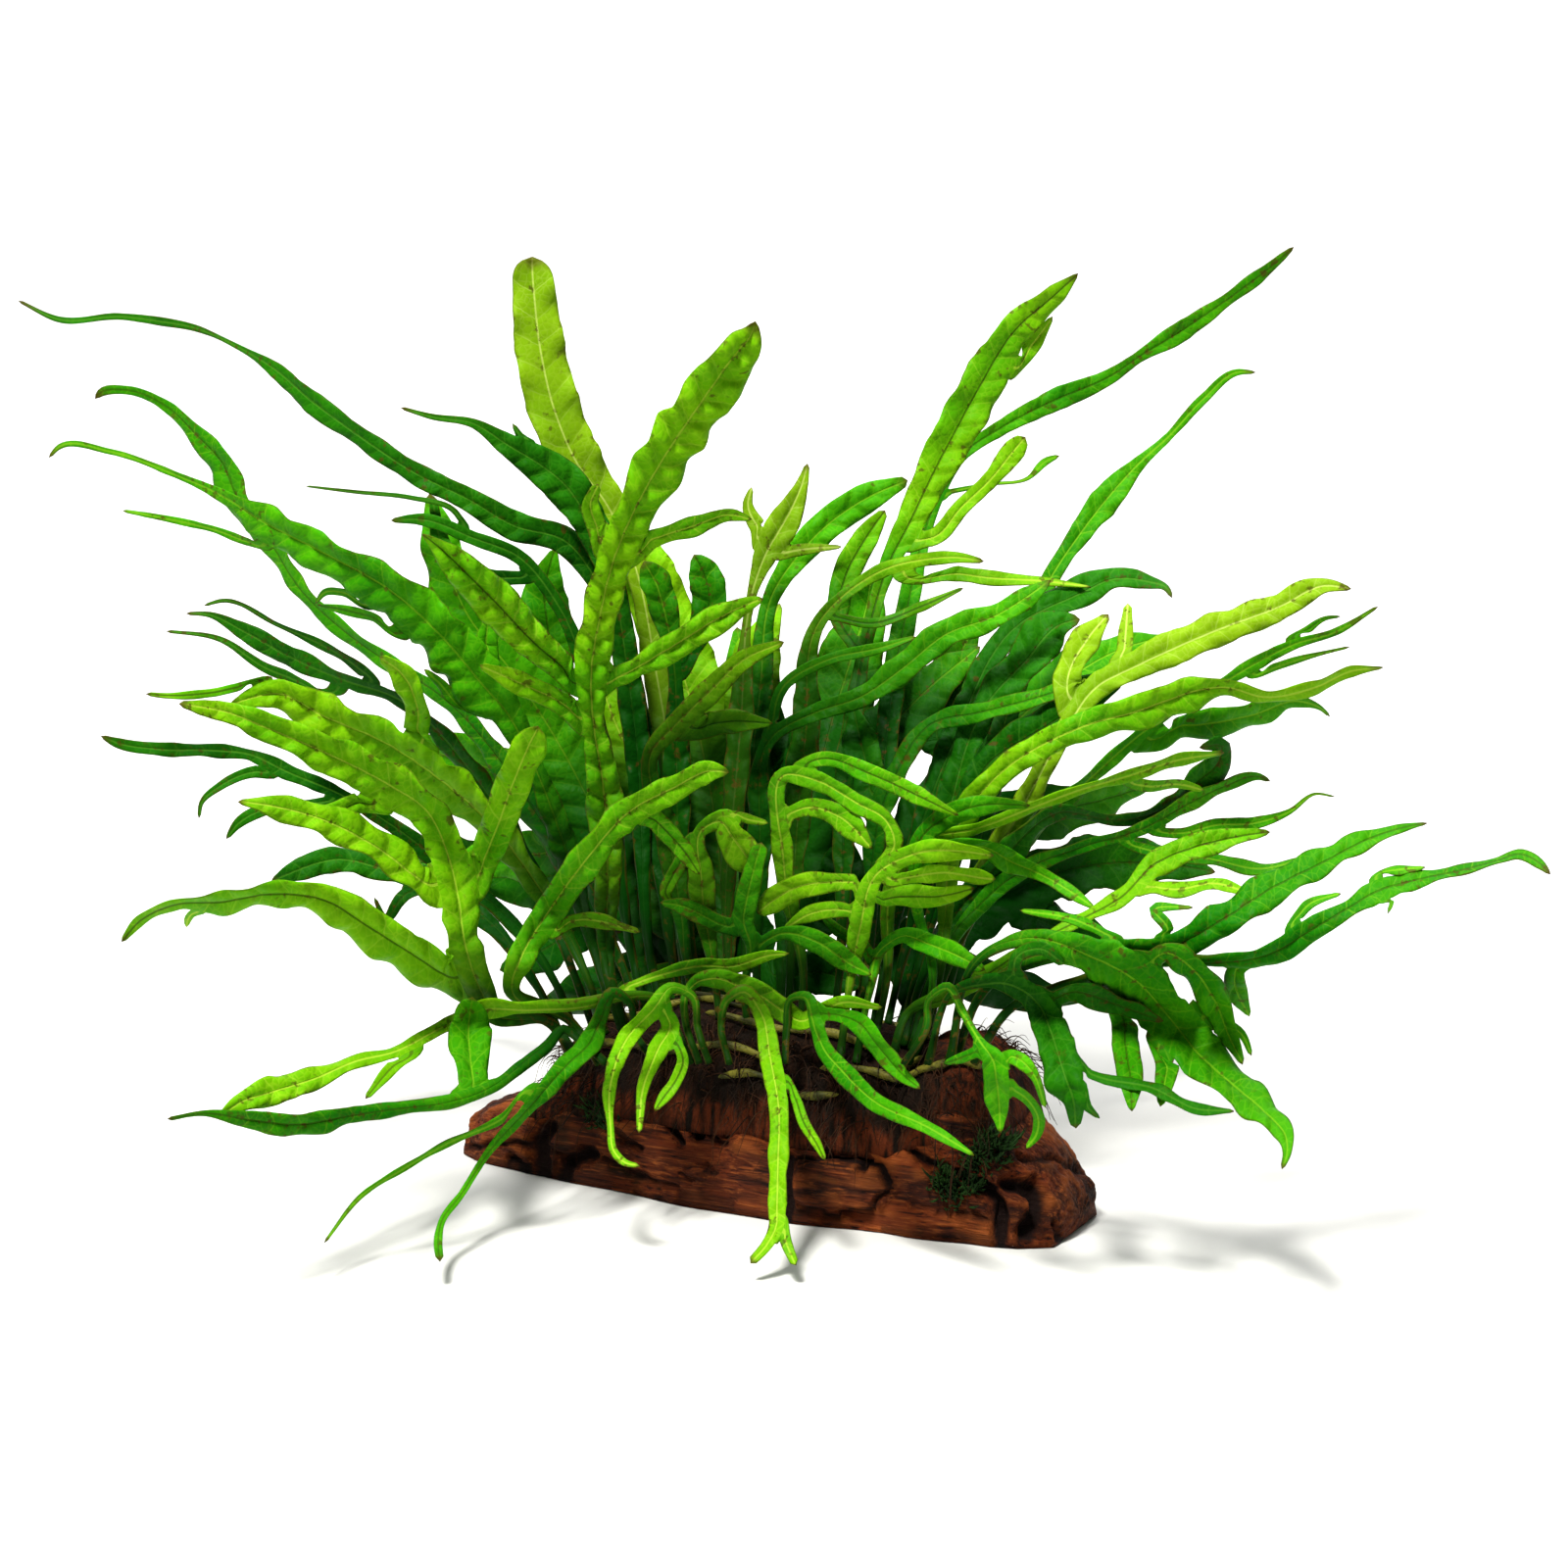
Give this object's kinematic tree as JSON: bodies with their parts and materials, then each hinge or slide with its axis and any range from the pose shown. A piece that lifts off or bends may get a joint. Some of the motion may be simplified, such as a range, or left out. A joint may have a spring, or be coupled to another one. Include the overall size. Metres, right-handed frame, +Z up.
{
  "type": "java fern on driftwood",
  "caption": "Lobed water fern with a creeping rhizome and dark root mat grown over a flat-bottomed piece of red-brown driftwood.",
  "frame": {"origin": "on the driftwood's flat underside, 3 mm to the right of its middle", "axes": "+X along the plant's widest side, to the right in its front view; +Y to the back; +Z up"},
  "size_m": [0.3615, 0.24, 0.2124],
  "materials": {
    "red_wood": "waterlogged red-brown wood with fine grain and dark cracks",
    "roots": "dark matted root hairs over a green-yellow creeping stem",
    "leaf_bright": "satin yellow-green leaf with quilted veins",
    "leaf_mid": "satin mid-green leaf",
    "leaf_dark": "satin dark-green leaf",
    "leaf_pale": "thin pale leaf that light shines through"
  },
  "bodies": {
    "root": {"driftwood": "red_wood", "rhizome_and_roots": "roots", "frond_hanging_fork": "leaf_bright", "frond_drooping_pair": "leaf_bright", "frond_three_lobed": "leaf_mid", "frond_over_wood": "leaf_mid", "frond_zigzag": "leaf_bright", "frond_floor_left": "leaf_mid", "frond_low_left": "leaf_mid", "frond_long_strip": "leaf_bright", "frond_pale_rib_low": "leaf_dark", "frond_drooping_right": "leaf_mid", "frond_bright_left": "leaf_bright", "frond_bright_centre": "leaf_bright", "frond_longest": "leaf_mid", "frond_broad_right": "leaf_mid", "frond_blunt_sheets": "leaf_mid", "frond_fan": "leaf_bright", "frond_centre_droop": "leaf_bright", "frond_low_centre": "leaf_mid", "frond_curled_centre": "leaf_bright", "frond_mottled": "leaf_bright", "frond_green_strip": "leaf_mid", "frond_bullate": "leaf_bright", "frond_tongue": "leaf_bright", "frond_broad_left": "leaf_bright", "frond_right_blade": "leaf_bright", "frond_mid_bright": "leaf_bright", "frond_dark_left": "leaf_dark", "frond_whisker_right": "leaf_mid", "frond_curled_right": "leaf_dark", "frond_many_lobed_left": "leaf_mid", "frond_rising_centre": "leaf_mid", "frond_left_cluster": "leaf_dark", "frond_thin_right": "leaf_mid", "frond_yellow_right": "leaf_pale", "frond_strip_right": "leaf_mid", "frond_shaded": "leaf_dark", "frond_pale_rib_high": "leaf_dark", "frond_level_strips": "leaf_bright", "frond_hooked_dark": "leaf_dark", "frond_behind_left": "leaf_dark", "frond_short_pair": "leaf_mid", "frond_hand": "leaf_pale", "frond_tall_right": "leaf_bright", "frond_shaded_left": "leaf_dark", "frond_broad_dark": "leaf_dark", "frond_longest_left": "leaf_dark", "frond_arching_right": "leaf_mid", "frond_arc_behind": "leaf_mid", "frond_tall_blunt": "leaf_pale", "frond_curved_left": "leaf_mid", "frond_longest_high": "leaf_mid", "frond_back_left": "leaf_mid", "frond_back_high": "leaf_bright", "frond_back_crown": "leaf_mid", "frond_back_right": "leaf_mid", "frond_back_low_left": "leaf_dark", "frond_back_low_right": "leaf_dark"}
  },
  "joints": []
}
